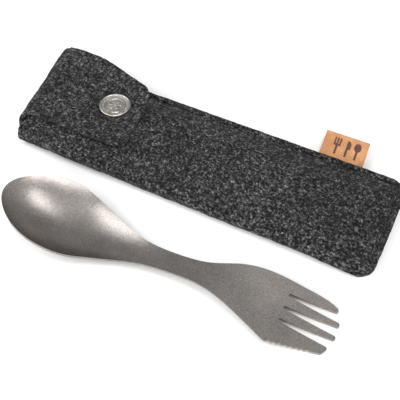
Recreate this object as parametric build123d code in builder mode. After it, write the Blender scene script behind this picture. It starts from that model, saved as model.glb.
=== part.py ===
"""Picnic cutlery: a one-sheet titanium spork and its felt pocket case with a snapped flap.

Units are millimetres and +Z is up.  The origin is the centre of the case's underside.
+X runs along the case from the flap's fold to the closed end.  The spork lies beside it.
"""
import os
from math import cos, pi, radians, sin, sqrt

from build123d import *

os.makedirs("parts", exist_ok=True)

# ---------------------------------------------------------------- driving sizes
CASE_L = 206.0        # from the flap's fold to the closed end
CASE_W = 62.0
CASE_CORNER = 10.0    # plan radius of the closed end's corners
BODY_H = 11.0         # two felt panels and the air between them
FELT = 2.6
SEAM = 5.0            # width of the band where the two panels are sewn together
FLAP_AIR = 0.4        # air between the front panel and the closed flap
MITRE_GAP = 0.3       # gap between the felt pieces at each crease

TOTAL_H = BODY_H + FLAP_AIR + FELT
FOLD_R = TOTAL_H / 2             # outer radius of the closed flap's fold
FOLD_X = -CASE_L / 2 + FOLD_R    # centre of that fold
MOUTH_X = FOLD_X + 1.8           # edge of the front panel
END_X = CASE_L / 2
SIDE_Y = CASE_W / 2

LIP_NEAR = -28.0                 # near edge of the tongue where it leaves the back panel
FLAP_NEAR = -20.0                # the flap's two long edges at the fold
FLAP_FAR = 30.5
FLAP_TIP_FAR = 24.0              # the far edge drifts in towards the tip
FLAP_TIP_X = -38.5
FLAP_CORNER = 8.0

SNAP_X = -54.0
SNAP_Y = 5.0
CAP_R = 8.5

TAG_X = 52.5                     # leather tag, sewn into the long seam
TAG_L = 24.0
TAG_OUT = 17.0                   # how far it stands out of the seam
TAG_T = 1.4

THREAD_R = 0.45
STITCH_IN = 3.0                  # from the felt's edge to the stitch line

SHEET = 1.2                      # titanium sheet
SPORK_L = 170.0
SPORK_TIP = (-71.4, -68.6, 0.0)  # on the table, under the spoon's tip
SPORK_TURN = 2.0                 # the spork lies at this angle to the case
WAIST_Z = 7.0                    # height of the flat waist above the table

SEAM_Z = 2 * FELT                # top of the sewn band


# ---------------------------------------------------------------- felt sleeve
def panel_section(inset):
    """Closed cross-section of the pocket, shrunk by inset: folded near edge, sewn far edge."""
    low = inset
    high = BODY_H - inset
    near = -SIDE_Y + inset
    far_top = SIDE_Y - 17.0
    far = SIDE_Y if inset == 0 else SIDE_Y - SEAM
    edge = SEAM_Z if inset == 0 else low + 0.2
    half = (high - low) / 2
    with BuildLine() as line:
        Line((near + half, low), (far, low))
        Line((far, low), (far, edge))
        Line((far, edge), (far_top, high))
        Line((far_top, high), (near + half, high))
        ThreePointArc((near + half, high), (near, low + half), (near + half, low))
    return line.line


def long_section(inset):
    """Side outline of the pocket along X: open at the mouth, flattened into the end seam."""
    low = inset
    high = BODY_H - inset
    end = END_X if inset == 0 else END_X - SEAM
    edge = SEAM_Z if inset == 0 else low + 0.2
    start = MOUTH_X if inset == 0 else MOUTH_X - 2.0
    with BuildLine() as line:
        Polyline((start, low), (end, low), (end, edge), (end - 18.0, high), (start, high), close=True)
    return line.line


def arc_strip(from_deg, to_deg, gap_from, gap_to):
    """Part of the felt's bend: a ring sector in XZ, cut back by the crease gaps."""
    a = from_deg + gap_from / FOLD_R * 180 / pi
    b = to_deg - gap_to / FOLD_R * 180 / pi
    inner = FOLD_R - FELT

    def at(radius, deg):
        return (FOLD_X + radius * cos(radians(deg)), FOLD_R + radius * sin(radians(deg)))

    mid = (a + b) / 2
    with BuildLine() as line:
        ThreePointArc(at(FOLD_R, a), at(FOLD_R, mid), at(FOLD_R, b))
        Line(at(FOLD_R, b), at(inner, b))
        ThreePointArc(at(inner, b), at(inner, mid), at(inner, a))
        Line(at(inner, a), at(FOLD_R, a))
    return line.line


flap_plane = Plane.XZ.offset(-FLAP_FAR)
flap_width = FLAP_FAR - FLAP_NEAR
lip_width = FLAP_FAR - LIP_NEAR

# the tongue narrows as it rises round the fold: its near edge is cut along this wedge
with BuildPart() as near_cut:
    with BuildSketch(Plane.YZ.offset(FOLD_X - FOLD_R - 1.0)):
        with BuildLine():
            Polyline(
                (LIP_NEAR, 0), (FLAP_NEAR, TOTAL_H), (-SIDE_Y - 5, TOTAL_H), (-SIDE_Y - 5, 0), close=True,
            )
        make_face()
    extrude(amount=FOLD_R + 1.0)

with BuildPart() as sleeve:
    with BuildSketch(Plane.YZ.offset(MOUTH_X)):
        with BuildLine():
            add(panel_section(0))
        make_face()
    extrude(amount=END_X - MOUTH_X)
    with BuildSketch(Plane.XZ.offset(-SIDE_Y)):
        with BuildLine():
            add(long_section(0))
        make_face()
    extrude(amount=CASE_W, mode=Mode.INTERSECT)
    with BuildSketch(Plane.XY):
        with Locations(((MOUTH_X + END_X) / 2, 0)):
            Rectangle(END_X - MOUTH_X, CASE_W)
        fillet([v for v in vertices() if v.X > 0], radius=CASE_CORNER)
    extrude(amount=BODY_H, mode=Mode.INTERSECT)

    with BuildPart(mode=Mode.PRIVATE) as pocket:
        with BuildSketch(Plane.YZ.offset(MOUTH_X - 1.0)):
            with BuildLine():
                add(panel_section(FELT))
            make_face()
        extrude(amount=END_X - MOUTH_X)
        with BuildSketch(Plane.XZ.offset(-SIDE_Y)):
            with BuildLine():
                add(long_section(FELT))
            make_face()
        extrude(amount=CASE_W, mode=Mode.INTERSECT)
    add(pocket.part, mode=Mode.SUBTRACT)

    # the back panel runs on past the mouth and starts to curl up
    with BuildSketch(flap_plane):
        with Locations(((FOLD_X + MOUTH_X) / 2 + 0.5, FELT / 2)):
            Rectangle(MOUTH_X - FOLD_X + 1.0, FELT)
    extrude(amount=lip_width)
    with BuildSketch(flap_plane):
        with BuildLine():
            add(arc_strip(225, 270, MITRE_GAP / 2, 0))
        make_face()
    extrude(amount=lip_width)
    add(near_cut.part, mode=Mode.SUBTRACT)

    # seats for the snap's stud and for its eyelet tube, and the slot that the tag is sewn into
    with Locations((SNAP_X, SNAP_Y, BODY_H)):
        Cylinder(6.2, 1.4, mode=Mode.SUBTRACT)
        Cylinder(1.3, 12.0, mode=Mode.SUBTRACT, align=(Align.CENTER, Align.CENTER, Align.MAX))
    with Locations((SNAP_X, SNAP_Y, 0)):
        Cylinder(1.3, FELT, align=(Align.CENTER, Align.CENTER, Align.MIN))
    with Locations((TAG_X + TAG_L / 2, SIDE_Y - SEAM + 1.0, FELT - TAG_T / 2)):
        Box(TAG_L, 2 * SEAM, TAG_T, align=(Align.CENTER, Align.MIN, Align.MIN), mode=Mode.SUBTRACT)
    # grooves that the seam threads lie in
    with Locations((MOUTH_X - 1.0, SIDE_Y - STITCH_IN, SEAM_Z + 1.0)):
        Box(
            END_X - MOUTH_X - 10.0, 1.4, 2.6, align=(Align.MIN, Align.CENTER, Align.CENTER),
            mode=Mode.SUBTRACT,
        )
    with Locations((END_X - STITCH_IN, 0.0, SEAM_Z + 1.0)):
        Box(1.4, CASE_W - 18.0, 2.6, mode=Mode.SUBTRACT)
sleeve.part.label = "sleeve"
export_step(sleeve.part, "parts/sleeve.step")

# ---------------------------------------------------------------- flap: band over the fold, then the cover
with BuildPart() as flap_band:
    with BuildSketch(flap_plane):
        with BuildLine():
            add(arc_strip(135, 225, MITRE_GAP / 2, MITRE_GAP / 2))
        make_face()
    extrude(amount=lip_width)
    add(near_cut.part, mode=Mode.SUBTRACT)
flap_band.part.label = "flap_band"
export_step(flap_band.part, "parts/flap_band.step")

FLAP_Z = TOTAL_H - FELT          # the closed flap's underside
with BuildPart() as flap:
    with BuildSketch(Plane.XY.offset(FLAP_Z)):
        with BuildLine():
            Polyline(
                (FOLD_X, FLAP_NEAR), (FLAP_TIP_X, FLAP_NEAR), (FLAP_TIP_X, FLAP_TIP_FAR),
                (FOLD_X + 14.0, FLAP_FAR), (FOLD_X, FLAP_FAR), close=True,
            )
        make_face()
        fillet([v for v in vertices() if v.X > FLAP_TIP_X - 1.0], radius=FLAP_CORNER)
    extrude(amount=FELT)
    with BuildSketch(flap_plane):
        with BuildLine():
            add(arc_strip(90, 135, 0, MITRE_GAP / 2))
        make_face()
    extrude(amount=flap_width)
    with Locations((SNAP_X, SNAP_Y, FLAP_Z)):
        Cylinder(6.2, 1.0, mode=Mode.SUBTRACT, align=(Align.CENTER, Align.CENTER, Align.MIN))
        Cylinder(1.7, FELT, mode=Mode.SUBTRACT, align=(Align.CENTER, Align.CENTER, Align.MIN))
flap.part.label = "flap"
export_step(flap.part, "parts/flap.step")

# ---------------------------------------------------------------- snap fastener
SNAP_PLANE = Plane(origin=(SNAP_X, SNAP_Y, 0), x_dir=(1, 0, 0), z_dir=(0, -1, 0))
SNAP_AXIS = Axis((SNAP_X, SNAP_Y, 0), (0, 0, 1))
SOCKET_TOP = FLAP_Z + 1.0        # the socket sits in the flap's seat
SOCKET_LOW = FLAP_Z + 0.05
PLATE = 0.4
RIVET_R = 1.6
DOWN = (Align.CENTER, Align.CENTER, Align.MAX)
UP = (Align.CENTER, Align.CENTER, Align.MIN)

with BuildPart() as snap_cap:
    # low dome inside a raised rim, one ring standing on the dome, and the rivet down through
    # the flap, which is flared inside the socket
    with BuildSketch(SNAP_PLANE):
        with BuildLine():
            under = SOCKET_TOP - PLATE
            Polyline(
                (0, under - 0.15), (2.3, under - 0.15), (2.3, under), (RIVET_R, under),
                (RIVET_R, TOTAL_H), (CAP_R - 0.3, TOTAL_H), (CAP_R, TOTAL_H + 0.4), (CAP_R, TOTAL_H + 0.9),
            )
            ThreePointArc(
                (CAP_R, TOTAL_H + 0.9), (CAP_R - 0.6, TOTAL_H + 1.5), (CAP_R - 1.2, TOTAL_H + 0.9)
            )
            Polyline(
                (CAP_R - 1.2, TOTAL_H + 0.9), (CAP_R - 1.9, TOTAL_H + 0.7), (5.7, TOTAL_H + 0.8),
                (5.5, TOTAL_H + 1.15), (4.8, TOTAL_H + 1.15), (4.6, TOTAL_H + 0.9), (2.4, TOTAL_H + 1.15),
                (0, TOTAL_H + 1.2), (0, under - 0.15),
            )
        make_face()
    revolve(axis=SNAP_AXIS)
snap_cap.part.label = "snap_cap"
export_step(snap_cap.part, "parts/snap_cap.step")

with BuildPart() as snap_socket:
    with BuildSketch(SNAP_PLANE):
        with BuildLine():
            Polyline(
                (RIVET_R, SOCKET_TOP - PLATE), (RIVET_R, SOCKET_TOP), (6.0, SOCKET_TOP),
                (6.0, SOCKET_LOW - 0.3), (3.5, SOCKET_LOW - 0.3), (3.5, SOCKET_LOW - 0.1),
                (5.4, SOCKET_LOW - 0.1), (5.4, SOCKET_TOP - PLATE), close=True,
            )
        make_face()
    revolve(axis=SNAP_AXIS)
snap_socket.part.label = "snap_socket"
export_step(snap_socket.part, "parts/snap_socket.step")

RING_R = 0.2
with BuildPart() as snap_spring:
    with BuildSketch(SNAP_PLANE):
        with Locations((3.85, SOCKET_LOW + 0.15)):
            Circle(RING_R)
    revolve(axis=SNAP_AXIS)
    # the spring wire is open at one side
    with Locations((SNAP_X + 3.85, SNAP_Y, SOCKET_LOW + 0.15)):
        Box(2.0, 0.8, 2.0, mode=Mode.SUBTRACT)
snap_spring.part.label = "snap_spring"
export_step(snap_spring.part, "parts/snap_spring.step")

STUD_TOP = SOCKET_TOP - PLATE - 0.15 - 0.1
with BuildPart() as snap_stud:
    base = BODY_H - 0.7
    with BuildSketch(SNAP_PLANE):
        with BuildLine():
            Polyline(
                (1.2, base), (6.0, base), (6.0, base + 0.3), (2.6, base + 0.5), (2.6, STUD_TOP - 0.45),
                (2.9, STUD_TOP - 0.3), (2.9, STUD_TOP - 0.15), (2.7, STUD_TOP), (1.2, STUD_TOP), close=True,
            )
        make_face()
    revolve(axis=SNAP_AXIS)
snap_stud.part.label = "snap_stud"
export_step(snap_stud.part, "parts/snap_stud.step")

with BuildPart() as snap_eyelet:
    panel_low = BODY_H - FELT
    with Locations((SNAP_X, SNAP_Y, panel_low)):
        Cylinder(5.5, 0.5, align=DOWN)
        Cylinder(1.2, STUD_TOP - 0.2 - panel_low, align=UP)
    fillet(snap_eyelet.faces().sort_by(Axis.Z)[0].edges(), radius=0.2)
snap_eyelet.part.label = "snap_eyelet"
export_step(snap_eyelet.part, "parts/snap_eyelet.step")

# ---------------------------------------------------------------- leather tag and seam threads
with BuildPart() as leather_tag:
    with BuildSketch(Plane.XY.offset(FELT - TAG_T / 2)):
        with Locations((TAG_X + TAG_L / 2, SIDE_Y + TAG_OUT)):
            Rectangle(TAG_L, TAG_OUT + SEAM - 1.0, align=(Align.CENTER, Align.MAX))
        fillet([v for v in vertices() if v.Y > SIDE_Y + 1.0], radius=1.2)
    extrude(amount=TAG_T)
leather_tag.part.label = "leather_tag"
export_step(leather_tag.part, "parts/leather_tag.step")

THREAD_Z = SEAM_Z - 0.3 + THREAD_R


def stitch_row(start, end, pitch, length):
    """Stitches in a line from start to end: round thread, one short rod for each stitch."""
    dx = end[0] - start[0]
    dy = end[1] - start[1]
    run = sqrt(dx * dx + dy * dy)
    count = int(run / pitch) + 1
    x_dir = (dx / run, dy / run, 0)
    for i in range(count):
        along = (i + 0.5) * run / count
        centre = (start[0] + x_dir[0] * along, start[1] + x_dir[1] * along, THREAD_Z)
        yield Plane(origin=centre, z_dir=x_dir), length


def seam(start, end):
    """One seam's thread: the straight lock thread with each stitch standing a little proud of it."""
    with BuildPart() as thread:
        run = sqrt((end[0] - start[0]) ** 2 + (end[1] - start[1]) ** 2)
        x_dir = ((end[0] - start[0]) / run, (end[1] - start[1]) / run, 0)
        with BuildSketch(Plane(origin=(start[0], start[1], THREAD_Z), z_dir=x_dir)):
            Circle(THREAD_R * 0.6)
        extrude(amount=run)
        for plane, length in stitch_row(start, end, 4.2, 3.2):
            with BuildSketch(plane.offset(-length / 2)):
                Circle(THREAD_R)
            extrude(amount=length)
    return thread.part


side_thread = seam((MOUTH_X + 2.0, SIDE_Y - STITCH_IN), (TAG_X - 1.0, SIDE_Y - STITCH_IN))
side_thread.label = "side_seam_thread"
export_step(side_thread, "parts/side_seam_thread.step")

end_thread = seam((END_X - STITCH_IN, SIDE_Y - 12.0), (END_X - STITCH_IN, -SIDE_Y + 12.0))
end_thread.label = "end_seam_thread"
export_step(end_thread, "parts/end_seam_thread.step")

tag_thread = seam((TAG_X + 1.0, SIDE_Y - STITCH_IN), (END_X - 12.0, SIDE_Y - STITCH_IN))
tag_thread.label = "tag_seam_thread"
export_step(tag_thread, "parts/tag_seam_thread.step")

# ---------------------------------------------------------------- spork
BOWL_W = 19.8         # half-widths of the plan outline
WAIST_W = 5.3
BOWL_S = 30.0         # stations along the spork from the spoon's tip
WAIST_S = 92.0
FORK_END_R = 22.0     # the tines end on one arc, which turns through these angles
FAR_TURN = 33.0
NEAR_TURN = -34.0
CORNER_S = 141.5      # where the diagonal of the near side meets the serrated edge
CORNER_Y = -17.9
SLOT_ROOT_S = 144.0
SLOT_PITCH = 6.8
SLOT_SHIFT = 1.7      # the slots sit off centre, so the cutting tine is the broad one
SLOT_DRIFT = -1.0     # and they run towards the near side on the way to the tips
TOOTH_PITCH = 2.4
TOOTH_R = 1.3
TOOTH_DEPTH = 0.45


def fork_end(deg):
    """Point on the arc that the tines end on."""
    return (SPORK_L - FORK_END_R * (1 - cos(radians(deg))), FORK_END_R * sin(radians(deg)))


# station, height of the middle of the sheet's top face, radius of its cross curve, half-width
SPORK_STATIONS = (
    (-2.5, 20.6, 9.0, 8.5, 2.6),
    (1.5, 15.6, 12.0, 11.5, 2.4),
    (5.0, 12.2, 15.0, 14.4, 2.1),
    (10.0, 8.8, 19.5, 18.0, 1.7),
    (16.0, 6.0, 22.0, 20.2, 1.45),
    (23.0, 3.6, 23.8, 21.6, 1.25),
    (31.0, 1.9, 25.0, 22.0, 1.2),
    (41.0, 1.25, 26.0, 21.0, 1.2),
    (51.0, 1.75, 22.5, 17.6, 1.2),
    (61.0, 3.0, 20.5, 13.2, 1.2),
    (71.0, 4.7, 23.0, 10.5, 1.2),
    (81.0, 6.2, 60.0, 9.0, 1.2),
    (92.0, WAIST_Z + 0.2, 300.0, 8.5, 1.2),
    (106.0, WAIST_Z + 0.8, 400.0, 11.0, 1.2),
    (120.0, WAIST_Z, 400.0, 16.5, 1.2),
    (135.0, 4.8, 300.0, 20.0, 1.2),
    (150.0, 2.7, 300.0, 20.0, 1.2),
    (163.0, 1.6, 300.0, 18.5, 1.2),
    (SPORK_L + 3.0, 1.25, 300.0, 16.0, 1.2),
)

spork_plane = Plane(
    origin=SPORK_TIP, x_dir=(cos(radians(SPORK_TURN)), sin(radians(SPORK_TURN)), 0), z_dir=(0, 0, 1)
)

with BuildPart() as spork:
    # the sheet cut across at each station: two concentric arcs, joined at the sides
    for station, low, radius, half, thick in SPORK_STATIONS:
        centre = low + radius
        side = sqrt(radius * radius - half * half)
        grow = (radius + thick) / radius
        middle = spork_plane.from_local_coords((station, 0, 0))
        with BuildSketch(Plane(origin=middle, x_dir=spork_plane.y_dir, z_dir=spork_plane.x_dir)):
            with BuildLine():
                ThreePointArc((-half, centre - side), (0, low), (half, centre - side))
                Line((half, centre - side), (half * grow, centre - side * grow))
                ThreePointArc(
                    (half * grow, centre - side * grow), (0, low - thick), (-half * grow, centre - side * grow)
                )
                Line((-half * grow, centre - side * grow), (-half, centre - side))
            make_face()
    loft()

    with BuildSketch(spork_plane.offset(-2.0)) as outline:
        with BuildLine():
            Spline(
                (0, 0), (12, 15.2), (BOWL_S, BOWL_W), (55, 12.5), (75, 6.4), (WAIST_S, WAIST_W),
                (106, 7.0), (118, 12.2), (127, 15.0), (138, 16.0), (150, 15.3), fork_end(FAR_TURN),
                tangents=((0, 1), (1, -0.5)), tangent_scalars=(1, 1),
            )
            ThreePointArc(fork_end(FAR_TURN), fork_end(0), fork_end(NEAR_TURN))
            Line(fork_end(NEAR_TURN), (CORNER_S, CORNER_Y))
            Spline(
                (CORNER_S, CORNER_Y), (128.5, -12.6), (118, -8.8), (106, -5.9), (WAIST_S, -WAIST_W),
                (75, -6.4), (55, -12.5), (BOWL_S, -BOWL_W), (12, -15.2), (0, 0),
                tangents=((-1, 0.42), (0, 1)), tangent_scalars=(1, 1),
            )
        make_face()
        fillet([v for v in vertices() if v.Y < CORNER_Y + 0.1], radius=4.0)
        # tapered slots between the four tines
        for i in (-1, 0, 1):
            root = SLOT_SHIFT + i * SLOT_PITCH
            end = root + SLOT_DRIFT
            with Locations((SLOT_ROOT_S + 0.8, root)):
                Circle(0.8, mode=Mode.SUBTRACT)
            with BuildLine():
                Polyline(
                    (SLOT_ROOT_S + 0.7, root - 0.8), (SPORK_L, end - 2.3), (SPORK_L + 4, end - 2.3),
                    (SPORK_L + 4, end + 2.3), (SPORK_L, end + 2.3), (SLOT_ROOT_S + 0.7, root + 0.8), close=True,
                )
            make_face(mode=Mode.SUBTRACT)
        # cutting serrations along the near tine's straight edge
        edge_s, edge_y = fork_end(NEAR_TURN)
        slope = (edge_y - CORNER_Y) / (edge_s - CORNER_S)
        for i in range(8):
            s = CORNER_S + 2.6 + TOOTH_PITCH * i
            with Locations((s, CORNER_Y + slope * (s - CORNER_S) - TOOTH_R + TOOTH_DEPTH)):
                Circle(TOOTH_R, mode=Mode.SUBTRACT)
        tips = [v for v in outline.vertices() if v.X > SPORK_L - 6]
        fillet(tips, radius=0.9)
    extrude(amount=30, mode=Mode.INTERSECT)
spork.part.label = "spork"
export_step(spork.part, "parts/spork.step")

for name, solid in (
    ("sleeve", sleeve.part), ("flap_band", flap_band.part), ("flap", flap.part), ("spork", spork.part),
):
    print(name, len(solid.solids()), round(solid.volume), solid.is_valid)
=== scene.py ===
"""Looks for the picnic spork and its felt case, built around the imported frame.

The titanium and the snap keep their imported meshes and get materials.  The felt, the tag and
the threads are rebuilt here as thick sheets and stitches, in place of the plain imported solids.
Everything is in metres in the row frame: +X along the case, +Z up.
"""
import math

import bpy
from mathutils import Matrix, Vector, noise


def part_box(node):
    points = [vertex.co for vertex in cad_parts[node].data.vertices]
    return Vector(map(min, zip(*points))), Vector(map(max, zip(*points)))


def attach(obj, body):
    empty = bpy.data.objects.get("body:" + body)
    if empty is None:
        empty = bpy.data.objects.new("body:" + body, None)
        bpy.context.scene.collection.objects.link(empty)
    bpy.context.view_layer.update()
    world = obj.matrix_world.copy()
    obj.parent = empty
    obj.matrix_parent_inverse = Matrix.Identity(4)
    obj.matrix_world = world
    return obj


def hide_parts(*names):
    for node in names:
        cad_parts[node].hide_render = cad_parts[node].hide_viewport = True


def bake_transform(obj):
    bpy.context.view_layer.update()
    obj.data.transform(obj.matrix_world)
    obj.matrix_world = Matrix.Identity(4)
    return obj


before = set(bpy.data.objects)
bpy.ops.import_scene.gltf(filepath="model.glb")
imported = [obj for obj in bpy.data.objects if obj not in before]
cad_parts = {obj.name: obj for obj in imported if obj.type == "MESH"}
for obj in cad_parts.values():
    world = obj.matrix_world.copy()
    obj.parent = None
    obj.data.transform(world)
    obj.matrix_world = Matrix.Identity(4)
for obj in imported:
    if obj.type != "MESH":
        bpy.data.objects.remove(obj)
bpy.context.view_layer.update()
MM = 0.001

# ---------------------------------------------------------------- sizes, from the frame
sleeve_lo, sleeve_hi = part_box("sleeve")
band_lo, band_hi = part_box("flap_band")
flap_lo, flap_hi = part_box("flap")
cap_lo, cap_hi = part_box("snap_cap")
tag_lo, tag_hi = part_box("leather_tag")

FELT = 2.6 * MM
END_X = sleeve_hi.x
HALF_W = sleeve_hi.y
BODY_H = sleeve_hi.z
TOTAL_H = flap_hi.z
FOLD_R = TOTAL_H / 2
FOLD_X = band_lo.x + FOLD_R
MOUTH_X = FOLD_X + 1.8 * MM
CORNER_R = 10 * MM
SEAM_H = 2 * FELT
STITCH_IN = 3 * MM
SNAP = Vector(((cap_lo.x + cap_hi.x) / 2, (cap_lo.y + cap_hi.y) / 2, TOTAL_H))
CAP_R = (cap_hi.x - cap_lo.x) / 2
SKEW = 0.14              # the flap's fold isn't square to the case


# ---------------------------------------------------------------- small helpers
def smooth(t):
    t = min(max(t, 0.0), 1.0)
    return t * t * (3 - 2 * t)


def lerp(a, b, t):
    return a + (b - a) * t


def ripple(point, scale, seed=0.0):
    """Smooth noise, about -1 to 1, with features about scale metres across."""
    x, y, z = point
    return noise.noise(Vector((x / scale + seed, y / scale, z / scale + 7.3)))


def new_object(name, verts, faces, body, shade_smooth=True):
    mesh = bpy.data.meshes.new(name)
    mesh.from_pydata([tuple(v) for v in verts], [], faces)
    mesh.validate()
    mesh.update()
    if shade_smooth:
        mesh.polygons.foreach_set("use_smooth", [True] * len(mesh.polygons))
    obj = bpy.data.objects.new(name, mesh)
    bpy.context.scene.collection.objects.link(obj)
    if body:
        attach(obj, body)
    return obj


def thick_sheet(name, place, count_u, count_v, body):
    """A closed felt sheet.  place(u, v, w) gives a point: u and v run over the sheet, 0 to 1,
    and w runs through its thickness.  The cut edges are slightly rounded."""
    verts = []
    index = {}
    soft = 0.35          # how far the edge is rounded back, as a share of one grid step

    def vertex(i, j, w):
        key = (i, j, w)
        if key not in index:
            u = i / count_u
            v = j / count_v
            if w in (0.0, 1.0):
                u = min(max(u, soft / count_u), 1 - soft / count_u)
                v = min(max(v, soft / count_v), 1 - soft / count_v)
            index[key] = len(verts)
            verts.append(place(u, v, w))
        return index[key]

    faces = []
    for i in range(count_u):
        for j in range(count_v):
            around = ((i, j), (i + 1, j), (i + 1, j + 1), (i, j + 1))
            faces.append([vertex(*corner, 0.0) for corner in around])
            faces.append([vertex(*corner, 1.0) for corner in (around[0], around[3], around[2], around[1])])
    levels = (0.0, 0.12, 0.37, 0.63, 0.88, 1.0)
    ring = [(i, 0) for i in range(count_u)] + [(count_u, j) for j in range(count_v)]
    ring += [(i, count_v) for i in range(count_u, 0, -1)] + [(0, j) for j in range(count_v, 0, -1)]
    for k, a in enumerate(ring):
        b = ring[(k + 1) % len(ring)]
        for low, high in zip(levels, levels[1:]):
            faces.append([vertex(*b, low), vertex(*a, low), vertex(*a, high), vertex(*b, high)])
    return new_object(name, verts, faces, body)


def fuzz(obj, amount=1.0):
    """Moves the felt's surface in and out a little, so that it isn't smooth."""
    mesh = obj.data
    normals = [Vector(n.vector) for n in mesh.vertex_normals]
    for vert, normal in zip(mesh.vertices, normals):
        p = vert.co
        shift = 0.16 * ripple(p, 2.2 * MM) + 0.24 * ripple(p, 6 * MM, 31.0) + 0.10 * ripple(p, 1.2 * MM, 12.0)
        moved = p + normal * (shift * amount * MM)
        vert.co = (moved.x, moved.y, max(moved.z, 0.0))


# ---------------------------------------------------------------- felt pocket
def edge_distance(x, y):
    """Distance in from the sewn outline: the far side, the closed end and their round corner."""
    dx = END_X - x
    dy = HALF_W - y
    if dx < CORNER_R and dy < CORNER_R:
        return CORNER_R - math.hypot(CORNER_R - dx, CORNER_R - dy)
    k = 3 * MM
    h = max(k - abs(dx - dy), 0) / k
    return min(dx, dy) - h * h * k / 4


def pocket_height(x, y):
    """Height of the pocket's outer top face: full in the middle, pinched along the stitches."""
    d = edge_distance(x, y)
    swell = smooth((d - 2 * MM) / (19 * MM))
    full = BODY_H - 0.3 * MM
    height = lerp(SEAM_H + 0.2 * MM, full, swell)
    height -= 2.1 * MM * math.exp(-(((d - STITCH_IN) / (1.0 * MM)) ** 2))
    # past the stitches the two layers stand a little open, and the pocket's middle sags
    inside = smooth(d / (25 * MM)) * smooth((x - SNAP.x - 16 * MM) / (25 * MM))
    height -= inside * (1.5 * MM + 0.9 * MM * ripple((x, y, 0), 45 * MM, 3.0))
    # the stud's seat
    r = math.hypot(x - SNAP.x, y - SNAP.y)
    height -= 0.95 * MM * (1 - smooth((r - 6.0 * MM) / (3 * MM)))
    return height


def fold_height(x):
    """Height of the near fold, which flattens towards the closed end."""
    flat_from = END_X - 30 * MM
    if x < flat_from:
        return pocket_height(x, 0.0)
    flatten = smooth((END_X - x - 1 * MM) / (29 * MM))
    return lerp(SEAM_H + 0.1 * MM, pocket_height(flat_from, 0.0), flatten)


def corner_inset(distance, radius):
    """How far a round corner cuts into an edge, at this distance from the corner."""
    if distance >= radius:
        return 0.0
    return radius - math.sqrt(max(radius ** 2 - (radius - max(distance, 0)) ** 2, 0))


BEND_FROM = 0.44         # share of the folded sheet that is the back panel, before the near fold
BEND_TO = 0.56


def pocket_point(u, v, w):
    """The folded felt sheet: v runs from the far edge of the back panel, round the near fold,
    to the far edge of the front panel.  w is 0 on the outside and 1 inside the pocket."""
    x_plain = lerp(MOUTH_X, END_X, u)
    high = fold_height(x_plain)
    radius = high / 2
    inner = max(radius - w * FELT, 0.06 * MM)
    near = -HALF_W + radius + 0.6 * MM * ripple((x_plain, 0, 0), 38 * MM, 5.0)
    if v <= BEND_FROM:
        y = lerp(HALF_W, near, v / BEND_FROM)
        z = None
    elif v >= BEND_TO:
        y = lerp(near, HALF_W, (v - BEND_TO) / (1 - BEND_TO))
        z = None
    else:
        turn = math.pi * (v - BEND_FROM) / (BEND_TO - BEND_FROM)
        y = near - inner * math.sin(turn)
        z = radius - inner * math.cos(turn)
    # the outline is taken on the outside, so that both faces of the sheet end together
    y_plan = y if z is None else near - radius * math.sin(turn)
    x_end = END_X - max(corner_inset(HALF_W - y_plan, CORNER_R), corner_inset(y_plan + HALF_W, CORNER_R))
    x = lerp(MOUTH_X, x_end, u)
    if z is None and v < 0.5:
        d = edge_distance(x, y)
        pinch = 0.35 * MM * math.exp(-(((d - STITCH_IN) / (1.2 * MM)) ** 2))
        z = lerp(pinch, FELT - 0.04 * MM, w)
    elif z is None:
        blend = smooth((y - near) / (9 * MM))
        top = lerp(high, pocket_height(x, y), blend)
        z = lerp(top, max(top - FELT, FELT + 0.02 * MM), w)
    return Vector((x, y, z))


pocket = thick_sheet("felt_pocket", pocket_point, 250, 190, "case")
fuzz(pocket)
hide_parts("sleeve")

# ---------------------------------------------------------------- felt tongue, fold and flap
FLAP_NEAR = flap_lo.y
LIP_NEAR = -HALF_W + 2.6 * MM   # the tongue is wider where it leaves the back panel
FLAP_FAR = flap_hi.y
TIP_X = flap_hi.x
TIP_R = 8 * MM
TUCK = 7 * MM            # the tongue starts inside the back panel, past the mouth
ARC = math.pi * FOLD_R


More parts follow.
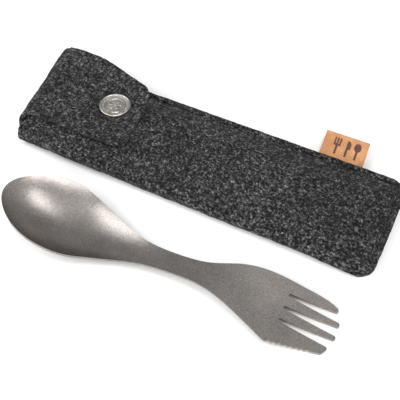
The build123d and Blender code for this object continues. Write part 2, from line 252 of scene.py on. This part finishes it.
def strip_point(length, across, w, tip_length):
    """length runs along the outside of the strip from inside the mouth, round the fold, to the
    flap's tip.  across is 0 at the near edge and 1 at the far edge."""
    run = MOUTH_X + TUCK - FOLD_X
    depth = w * FELT
    if length < run:
        x = FOLD_X + run - length
        z = depth
    elif length < run + ARC:
        turn = (length - run) / FOLD_R
        x = FOLD_X - (FOLD_R - depth) * math.sin(turn)
        z = FOLD_R - (FOLD_R - depth) * math.cos(turn)
    else:
        x = FOLD_X + (length - run - ARC)
        z = TOTAL_H - depth
    past = smooth((length - run) / ARC)
    taper = smooth((length - run - ARC - 18 * MM) / (40 * MM))
    far = lerp(FLAP_FAR, FLAP_FAR - 6 * MM, taper)
    near = lerp(LIP_NEAR, FLAP_NEAR, smooth((length - 0.3 * run) / (0.7 * run + ARC)))
    y = lerp(near, far, across)
    # the rounded corners of the tip
    left = tip_length - length
    inset = corner_inset(left, TIP_R)
    y = min(max(y, near + inset), far - inset)
    # the fold lies askew, and its far corner stands up and out
    lean = smooth(length / run)
    x -= SKEW * (y - SNAP.y) * lean
    puff = past * math.exp(-(((x - FOLD_X - 8 * MM) / (34 * MM)) ** 2)) * smooth((y - 2 * MM) / (24 * MM))
    z += 2.6 * MM * puff
    y += 2.8 * MM * puff
    if length > run + ARC:
        r = math.hypot(x - SNAP.x, y - SNAP.y)
        pillow = smooth((r - CAP_R) / (6 * MM)) * smooth((TIP_X + 4 * MM - x) / (8 * MM))
        z += 0.5 * MM * pillow
        z -= 0.15 * MM * (1 - smooth((r - CAP_R) / (2 * MM))) * (1 - w)
        z += 1.05 * MM * (1 - smooth((r - 6 * MM) / (2.5 * MM))) * w
        z += 0.35 * MM * (1 + ripple((x, y, 0), 18 * MM, 9.0)) * smooth((r - 10 * MM) / (8 * MM))
        z += 0.8 * MM * smooth((FLAP_NEAR + 7 * MM - y) / (7 * MM))
    return Vector((x, y, z))


RUN = MOUTH_X + TUCK - FOLD_X
TIP_LENGTH = RUN + ARC + TIP_X - FOLD_X
MID = RUN + ARC / 2


def tongue_point(u, v, w):
    p = strip_point(lerp(0, MID, u), v, w, TIP_LENGTH)
    hide = 1 - smooth((lerp(0, MID, u) - TUCK + 1.5 * MM) / (2.5 * MM))
    p.z += hide * lerp(0.25 * MM, -0.25 * MM, w)
    return p


def flap_point(u, v, w):
    return strip_point(lerp(MID, TIP_LENGTH, u), v, w, TIP_LENGTH)


tongue = thick_sheet("felt_tongue", tongue_point, 24, 56, None)
cover = thick_sheet("felt_flap", flap_point, 80, 56, None)
for piece in (tongue, cover):
    fuzz(piece)
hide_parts("flap_band")
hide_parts("flap")
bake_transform(tongue)
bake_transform(cover)

# ---------------------------------------------------------------- stitches
STITCH_PITCH = 4.2 * MM


def stitch(verts, faces, start, end, rise, radius=0.36 * MM):
    """One stitch: a short round thread that dives into the felt at both ends."""
    steps = 7
    sides = 8
    base = len(verts)
    along = (end - start).normalized()
    side = Vector((-along.y, along.x, 0))
    for i in range(steps + 1):
        t = i / steps
        centre = start.lerp(end, t)
        centre.z += rise * math.sin(math.pi * t) - 0.35 * MM
        r = radius * (0.45 + 0.55 * math.sin(math.pi * min(max(t, 0.08), 0.92)) ** 0.4)
        for k in range(sides):
            a = 2 * math.pi * k / sides
            verts.append(centre + side * (r * math.cos(a)) + Vector((0, 0, r * math.sin(a))))
    for i in range(steps):
        for k in range(sides):
            a = base + i * sides + k
            b = base + i * sides + (k + 1) % sides
            faces.append([a, b, b + sides, a + sides])
    faces.append([base + k for k in range(sides)][::-1])
    faces.append([base + steps * sides + k for k in range(sides)])


def seam(name, route, nodes):
    """Stitches along the seam, on the top and on the underside.  route(t) gives x, y in plan."""
    verts = []
    faces = []
    length = sum((Vector(route((i + 1) / 60)) - Vector(route(i / 60))).length for i in range(60))
    count = int(length / STITCH_PITCH)
    for i in range(count):
        a = route((i + 0.12) / count)
        b = route((i + 0.88) / count)
        top_a = pocket_height(*a)
        top_b = pocket_height(*b)
        stitch(verts, faces, Vector((*a, top_a)), Vector((*b, top_b)), 0.45 * MM)
        stitch(verts, faces, Vector((*a, 0.75 * MM)), Vector((*b, 0.75 * MM)), -0.1 * MM, 0.3 * MM)
    obj = new_object(name, verts, faces, "case")
    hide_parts(*nodes)
    return obj


LINE_Y = HALF_W - STITCH_IN
LINE_X = END_X - STITCH_IN
TURN_R = CORNER_R - STITCH_IN


def side_route(t):
    return (lerp(MOUTH_X + 1.5 * MM, tag_lo.x - 0.5 * MM, t), LINE_Y)


def tag_route(t):
    return (lerp(tag_lo.x + 0.5 * MM, END_X - CORNER_R, t), LINE_Y)


def end_route(t):
    """Round the far corner and down the closed end."""
    turn = TURN_R * math.pi / 2
    straight = (HALF_W - CORNER_R) * 2 - 1 * MM
    s = t * (turn + straight)
    if s < turn:
        a = s / TURN_R
        return (END_X - CORNER_R + TURN_R * math.sin(a), HALF_W - CORNER_R + TURN_R * math.cos(a))
    return (LINE_X, HALF_W - CORNER_R - (s - turn))


threads = [
    seam("stitches_side", side_route, ["side_seam_thread"]),
    seam("stitches_tag", tag_route, ["tag_seam_thread"]),
    seam("stitches_end", end_route, ["end_seam_thread"]),
]

# ---------------------------------------------------------------- leather tag
TAG_T = tag_hi.z - tag_lo.z


def tag_point(u, v, w):
    """u runs along the case, v out of the seam.  The leather is stiff and bends up a little."""
    x = lerp(tag_lo.x, tag_hi.x, u)
    y = lerp(tag_lo.y, tag_hi.y, v)
    out = max(y - HALF_W, 0)
    bend = 9.0 * out * out + 0.5 * MM * (u - 0.5) * smooth(out / (12 * MM))
    x += 0.08 * (tag_hi.y - y)
    return Vector((x, y, lerp(tag_hi.z, tag_lo.z, w) + bend))


def tag_strip(u, v, w):
    """The tag's points with the two directions swapped, so that its faces look outwards."""
    return tag_point(v, u, w)


tag = thick_sheet("leather_tag_strap", tag_strip, 26, 30, "case")
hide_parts("leather_tag")


def tag_top(x, y, lift=0.03 * MM):
    u = (x - tag_lo.x) / (tag_hi.x - tag_lo.x)
    v = (y - tag_lo.y) / (tag_hi.y - tag_lo.y)
    p = tag_point(u, v, 0.0)
    p.z += lift
    return p


def tag_print(name, shapes):
    """Thin printed shapes lying on the tag.  Each is a convex polygon in plan."""
    verts = []
    faces = []
    for poly in shapes:
        base = len(verts)
        n = len(poly)
        verts += [tag_top(x, y, 0.05 * MM) for x, y in poly]
        verts += [tag_top(x, y, -0.05 * MM) for x, y in poly]
        faces.append(list(range(base, base + n)))
        faces.append(list(range(base + n, base + 2 * n))[::-1])
        for i in range(n):
            j = (i + 1) % n
            faces.append([base + j, base + i, base + n + i, base + n + j])
    obj = new_object(name, verts, faces, "case", shade_smooth=False)
    return obj


def bar(x0, y0, x1, y1):
    return [(x0, y0), (x1, y0), (x1, y1), (x0, y1)]


def disc(cx, cy, rx, ry, count=28):
    return [
        (cx + rx * math.cos(2 * math.pi * i / count), cy + ry * math.sin(2 * math.pi * i / count))
        for i in range(count)
    ]


mark_x = tag_lo.x + 6.0 * MM
mark_y = HALF_W + 9.4 * MM
pictogram = []
# a plain fork, knife and spoon, side by side, with their handles towards the case
fork_x = mark_x + 1.5 * MM
knife_x = mark_x + 7.2 * MM
spoon_x = mark_x + 12.6 * MM
STEM = 0.55 * MM
for k in (-1, 0, 1):
    prong = fork_x + 1.5 * k * MM
    pictogram.append(bar(prong - 0.42 * MM, mark_y + 1.4 * MM, prong + 0.42 * MM, mark_y + 5.2 * MM))
pictogram.append(bar(fork_x - 1.92 * MM, mark_y + 0.4 * MM, fork_x + 1.92 * MM, mark_y + 1.6 * MM))
pictogram.append(bar(fork_x - STEM, mark_y - 5.2 * MM, fork_x + STEM, mark_y + 0.6 * MM))
pictogram.append(bar(knife_x - STEM, mark_y - 5.2 * MM, knife_x + STEM, mark_y + 0.2 * MM))
pictogram.append([
    (knife_x - STEM, mark_y), (knife_x + 1.7 * MM, mark_y), (knife_x + 1.7 * MM, mark_y + 3.4 * MM),
    (knife_x + 0.9 * MM, mark_y + 4.8 * MM), (knife_x - STEM, mark_y + 5.2 * MM),
])
pictogram.append(disc(spoon_x, mark_y + 2.6 * MM, 1.9 * MM, 2.6 * MM))
pictogram.append(bar(spoon_x - STEM, mark_y - 5.2 * MM, spoon_x + STEM, mark_y + 0.6 * MM))
printed = tag_print("tag_print", pictogram)

# ---------------------------------------------------------------- relief on the snap's cap
def cap_relief():
    """Small beads between the rim and the ring, and a plain leaf in the middle."""
    verts = []
    faces = []

    def bead(cx, cy, cz, rx, ry, rz, turn=0.0):
        base = len(verts)
        rows = 5
        sides = 10
        for i in range(rows):
            phi = 0.5 * math.pi * i / rows
            for k in range(sides):
                a = 2 * math.pi * k / sides
                lx = rx * math.cos(phi) * math.cos(a)
                ly = ry * math.cos(phi) * math.sin(a)
                verts.append(Vector((
                    cx + lx * math.cos(turn) - ly * math.sin(turn),
                    cy + lx * math.sin(turn) + ly * math.cos(turn),
                    cz + rz * math.sin(phi),
                )))
        verts.append(Vector((cx, cy, cz + rz)))
        for i in range(rows - 1):
            for k in range(sides):
                a = base + i * sides + k
                b = base + i * sides + (k + 1) % sides
                faces.append([a, b, b + sides, a + sides])
        last = base + (rows - 1) * sides
        for k in range(sides):
            faces.append([last + k, last + (k + 1) % sides, len(verts) - 1])
        faces.append([base + k for k in range(sides)][::-1])

    plate = TOTAL_H + 0.66 * MM
    beads = 36
    bead_ring = 6.45 * MM
    for i in range(beads):
        a = 2 * math.pi * i / beads
        x = SNAP.x + bead_ring * math.cos(a)
        y = SNAP.y + bead_ring * math.sin(a)
        bead(x, y, plate, 0.28 * MM, 0.28 * MM, 0.34 * MM)
    dome = TOTAL_H + 1.0 * MM
    for i in range(6):
        a = 2 * math.pi * i / 6 + 0.3
        bead(
            SNAP.x + 2.3 * MM * math.cos(a), SNAP.y + 2.3 * MM * math.sin(a), dome,
            1.35 * MM, 0.5 * MM, 0.36 * MM, a,
        )
    bead(SNAP.x, SNAP.y, TOTAL_H + 1.1 * MM, 0.6 * MM, 0.6 * MM, 0.35 * MM)
    obj = new_object("snap_cap_relief", verts, faces, "cover")
    return obj


relief = cap_relief()


# ---------------------------------------------------------------- materials
def material(name):
    mat = bpy.data.materials.new(name)
    mat.use_nodes = True
    nodes = mat.node_tree.nodes
    links = mat.node_tree.links
    shader = nodes["Principled BSDF"]
    coords = nodes.new("ShaderNodeTexCoord")
    return mat, nodes, links, shader, coords.outputs["Object"]


def noise_tex(nodes, links, vector, scale, detail=2.0, rough=0.5, distortion=0.0):
    tex = nodes.new("ShaderNodeTexNoise")
    tex.inputs["Scale"].default_value = scale
    tex.inputs["Detail"].default_value = detail
    tex.inputs["Roughness"].default_value = rough
    tex.inputs["Distortion"].default_value = distortion
    links.new(vector, tex.inputs["Vector"])
    return tex.outputs["Fac"]


def ramp(nodes, links, value, stops):
    node = nodes.new("ShaderNodeValToRGB")
    elements = node.color_ramp.elements
    while len(elements) < len(stops):
        elements.new(0.5)
    for element, (at, colour) in zip(elements, stops):
        element.position = at
        element.color = (*colour, 1)
    links.new(value, node.inputs["Fac"])
    return node.outputs["Color"]


def grey(level, warm=0.0):
    return (level * (1 + warm), level, level * (1 - warm))


def mix(nodes, links, kind, factor, a, b):
    node = nodes.new("ShaderNodeMix")
    node.data_type = "RGBA"
    node.blend_type = kind
    node.inputs["Factor"].default_value = factor
    links.new(a, node.inputs["A"])
    links.new(b, node.inputs["B"])
    return node.outputs["Result"]


def bump(nodes, links, shader, layers):
    """layers: (height output, strength, distance in metres), stacked into one normal."""
    previous = None
    for height, strength, distance in layers:
        node = nodes.new("ShaderNodeBump")
        node.inputs["Strength"].default_value = strength
        node.inputs["Distance"].default_value = distance
        links.new(height, node.inputs["Height"])
        if previous:
            links.new(previous, node.inputs["Normal"])
        previous = node.outputs["Normal"]
    links.new(previous, shader.inputs["Normal"])


def felt_material():
    mat, nodes, links, shader, co = material("charcoal_felt")
    fleck = noise_tex(nodes, links, co, 760, 4.0, 0.68, 0.3)
    fibre = noise_tex(nodes, links, co, 1700, 3.0, 0.7, 1.2)
    clump = noise_tex(nodes, links, co, 330, 2.0, 0.6)
    cloud = noise_tex(nodes, links, co, 70, 2.0, 0.5)
    base = ramp(nodes, links, fleck, [
        (0.34, grey(0.0035)), (0.46, grey(0.016)), (0.54, grey(0.050)), (0.66, grey(0.145)),
    ])
    fibres = ramp(nodes, links, fibre, [(0.36, grey(0.18)), (0.50, grey(0.75)), (0.64, grey(2.2))])
    clumps = ramp(nodes, links, clump, [(0.36, grey(0.40)), (0.50, grey(0.95)), (0.64, grey(1.5))])
    clouds = ramp(nodes, links, cloud, [(0.35, grey(0.78)), (0.65, grey(1.2))])
    colour = mix(nodes, links, "MULTIPLY", 1.0, base, fibres)
    colour = mix(nodes, links, "MULTIPLY", 1.0, colour, clumps)
    colour = mix(nodes, links, "MULTIPLY", 1.0, colour, clouds)
    links.new(colour, shader.inputs["Base Color"])
    shader.inputs["Roughness"].default_value = 0.95
    shader.inputs["Specular IOR Level"].default_value = 0.05
    shader.inputs["Sheen Weight"].default_value = 0.05
    shader.inputs["Sheen Roughness"].default_value = 0.6
    bump(nodes, links, shader, [(fleck, 0.9, 0.5 * MM), (fibre, 0.8, 0.25 * MM)])
    return mat


def titanium_material():
    mat, nodes, links, shader, co = material("blasted_titanium")
    grain = noise_tex(nodes, links, co, 1500, 3.0, 0.65)
    patch = noise_tex(nodes, links, co, 60, 3.0, 0.55)
    colour = ramp(nodes, links, patch, [(0.35, (0.262, 0.243, 0.229)), (0.65, (0.315, 0.294, 0.277))])
    specks = ramp(nodes, links, grain, [(0.34, grey(0.74)), (0.50, grey(0.98)), (0.66, grey(1.22))])
    colour = mix(nodes, links, "MULTIPLY", 1.0, colour, specks)
    links.new(colour, shader.inputs["Base Color"])
    shader.inputs["Metallic"].default_value = 1.0
    rough = nodes.new("ShaderNodeMapRange")
    rough.inputs["To Min"].default_value = 0.28
    rough.inputs["To Max"].default_value = 0.40
    links.new(grain, rough.inputs["Value"])
    links.new(rough.outputs["Result"], shader.inputs["Roughness"])
    bump(nodes, links, shader, [(grain, 0.25, 0.06 * MM)])
    return mat


def snap_material():
    mat, nodes, links, shader, co = material("antique_nickel")
    patch = noise_tex(nodes, links, co, 500, 4.0, 0.6)
    fine = noise_tex(nodes, links, co, 3000, 2.0, 0.6)
    colour = ramp(nodes, links, patch, [
        (0.32, (0.30, 0.28, 0.255)), (0.50, (0.46, 0.44, 0.41)), (0.66, (0.60, 0.58, 0.55)),
    ])
    links.new(colour, shader.inputs["Base Color"])
    shader.inputs["Metallic"].default_value = 1.0
    rough = nodes.new("ShaderNodeMapRange")
    rough.inputs["To Min"].default_value = 0.26
    rough.inputs["To Max"].default_value = 0.44
    links.new(patch, rough.inputs["Value"])
    links.new(rough.outputs["Result"], shader.inputs["Roughness"])
    bump(nodes, links, shader, [(patch, 0.15, 0.1 * MM), (fine, 0.1, 0.05 * MM)])
    return mat


def leather_material():
    mat, nodes, links, shader, co = material("tan_leather")
    patch = noise_tex(nodes, links, co, 130, 3.0, 0.6)
    grain = noise_tex(nodes, links, co, 1500, 3.0, 0.6)
    pores = nodes.new("ShaderNodeTexVoronoi")
    pores.inputs["Scale"].default_value = 1400
    links.new(co, pores.inputs["Vector"])
    colour = ramp(nodes, links, patch, [
        (0.30, (0.42, 0.195, 0.085)), (0.52, (0.54, 0.265, 0.120)), (0.70, (0.62, 0.32, 0.155)),
    ])
    specks = ramp(nodes, links, grain, [(0.36, grey(0.72)), (0.52, grey(1.0))])
    colour = mix(nodes, links, "MULTIPLY", 0.7, colour, specks)
    links.new(colour, shader.inputs["Base Color"])
    shader.inputs["Roughness"].default_value = 0.62
    shader.inputs["Specular IOR Level"].default_value = 0.35
    bump(nodes, links, shader, [(pores.outputs["Distance"], 0.35, 0.08 * MM), (grain, 0.3, 0.05 * MM)])
    return mat


def print_material():
    mat, nodes, links, shader, co = material("brown_print")
    patch = noise_tex(nodes, links, co, 1800, 3.0, 0.6)
    colour = ramp(nodes, links, patch, [(0.36, (0.060, 0.022, 0.020)), (0.66, (0.14, 0.055, 0.040))])
    links.new(colour, shader.inputs["Base Color"])
    shader.inputs["Roughness"].default_value = 0.7
    bump(nodes, links, shader, [(patch, 0.3, 0.03 * MM)])
    return mat


def thread_material():
    mat, nodes, links, shader, co = material("waxed_thread")
    strand = noise_tex(nodes, links, co, 3500, 2.0, 0.5)
    colour = ramp(nodes, links, strand, [(0.35, grey(0.010)), (0.65, grey(0.045))])
    links.new(colour, shader.inputs["Base Color"])
    shader.inputs["Roughness"].default_value = 0.6
    shader.inputs["Sheen Weight"].default_value = 0.2
    bump(nodes, links, shader, [(strand, 0.6, 0.1 * MM)])
    return mat


def floor_material():
    mat, nodes, links, shader, co = material("white_paper")
    tone = noise_tex(nodes, links, co, 3, 2.0, 0.5)
    colour = ramp(nodes, links, tone, [(0.3, grey(0.93)), (0.7, grey(0.94))])
    links.new(colour, shader.inputs["Base Color"])
    shader.inputs["Roughness"].default_value = 0.9
    shader.inputs["Specular IOR Level"].default_value = 0.1
    return mat


def paint(obj, mat):
    obj.data.materials.clear()
    obj.data.materials.append(mat)


felt = felt_material()
titanium = titanium_material()
nickel = snap_material()
for piece in (pocket, tongue, cover):
    paint(piece, felt)
waxed = thread_material()
for piece in threads:
    paint(piece, waxed)
paint(tag, leather_material())
paint(printed, print_material())
paint(relief, nickel)
paint(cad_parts["spork"], titanium)
for node in ("snap_cap", "snap_socket", "snap_spring", "snap_stud", "snap_eyelet"):
    paint(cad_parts[node], nickel)
for node in ("sleeve", "flap_band", "flap"):
    paint(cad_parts[node], felt)

# ---------------------------------------------------------------- floor, light and camera
def plane(name, size, z):
    s = size / 2
    return new_object(name, [(-s, -s, z), (s, -s, z), (s, s, z), (-s, s, z)], [[0, 1, 2, 3]], None)


floor = plane("floor", 8.0, -0.0002)
paint(floor, floor_material())

AZIMUTH = math.radians(26.6)
ELEVATION = math.radians(52.0)
DISTANCE = 0.3553
AIM = Vector((0.0106, -0.0220, 0.0))
back = Vector((
    math.sin(AZIMUTH) * math.cos(ELEVATION), -math.cos(AZIMUTH) * math.cos(ELEVATION), math.sin(ELEVATION)
))
camera_data = bpy.data.cameras.new("camera")
camera_data.lens = 63.0
camera_data.sensor_width = 36.0
camera_data.clip_start = 0.01
camera = bpy.data.objects.new("camera", camera_data)
camera.location = AIM + back * DISTANCE
camera.rotation_euler = back.to_track_quat("Z", "Y").to_euler()
bpy.context.scene.collection.objects.link(camera)
bpy.context.scene.camera = camera


def softbox(name, place, aim, size, watts):
    light = bpy.data.lights.new(name, "AREA")
    light.shape = "RECTANGLE"
    light.size = size[0]
    light.size_y = size[1]
    light.energy = watts
    obj = bpy.data.objects.new(name, light)
    obj.location = place
    out = (Vector(place) - Vector(aim)).normalized()
    across = (right - right.dot(out) * out).normalized()
    obj.rotation_euler = Matrix((across, out.cross(across), out)).transposed().to_euler()
    bpy.context.scene.collection.objects.link(obj)
    return obj


right = Vector((math.cos(AZIMUTH), math.sin(AZIMUTH), 0))
away = Vector((-math.sin(AZIMUTH), math.cos(AZIMUTH), 0))
up = Vector((0, 0, 1))
softbox("overhead", tuple(0.25 * right - 0.2 * away + 0.95 * up), (0, 0, 0), (0.28, 0.62), 3.0)
softbox("left", tuple(-0.74 * right + 0.02 * away + 0.67 * up), (0, 0, 0), (0.35, 0.7), 4.2)
softbox("near", tuple(-0.1 * right - 0.95 * away + 0.42 * up), (0, 0, 0), (1.2, 0.3), 7.0)

world = bpy.data.worlds.new("studio")
world.use_nodes = True
# an even pale room, dimmer on the side away from the camera
sky = world.node_tree.nodes
wires = world.node_tree.links
direction = sky.new("ShaderNodeTexCoord")
towards = sky.new("ShaderNodeVectorMath")
towards.operation = "DOT_PRODUCT"
wires.new(direction.outputs["Generated"], towards.inputs[0])
towards.inputs[1].default_value = (-math.sin(AZIMUTH), math.cos(AZIMUTH), 0)
room = ramp(sky, wires, towards.outputs["Value"], [
    (0.0, grey(0.80)), (0.25, grey(0.60)), (0.55, grey(0.40)), (0.85, grey(0.52)),
])
world.node_tree.links.new(room, sky["Background"].inputs["Color"])
sky["Background"].inputs["Strength"].default_value = 1.0
bpy.context.scene.world = world
bpy.context.scene.view_settings.view_transform = "Standard"
bpy.context.scene.view_settings.look = "None"
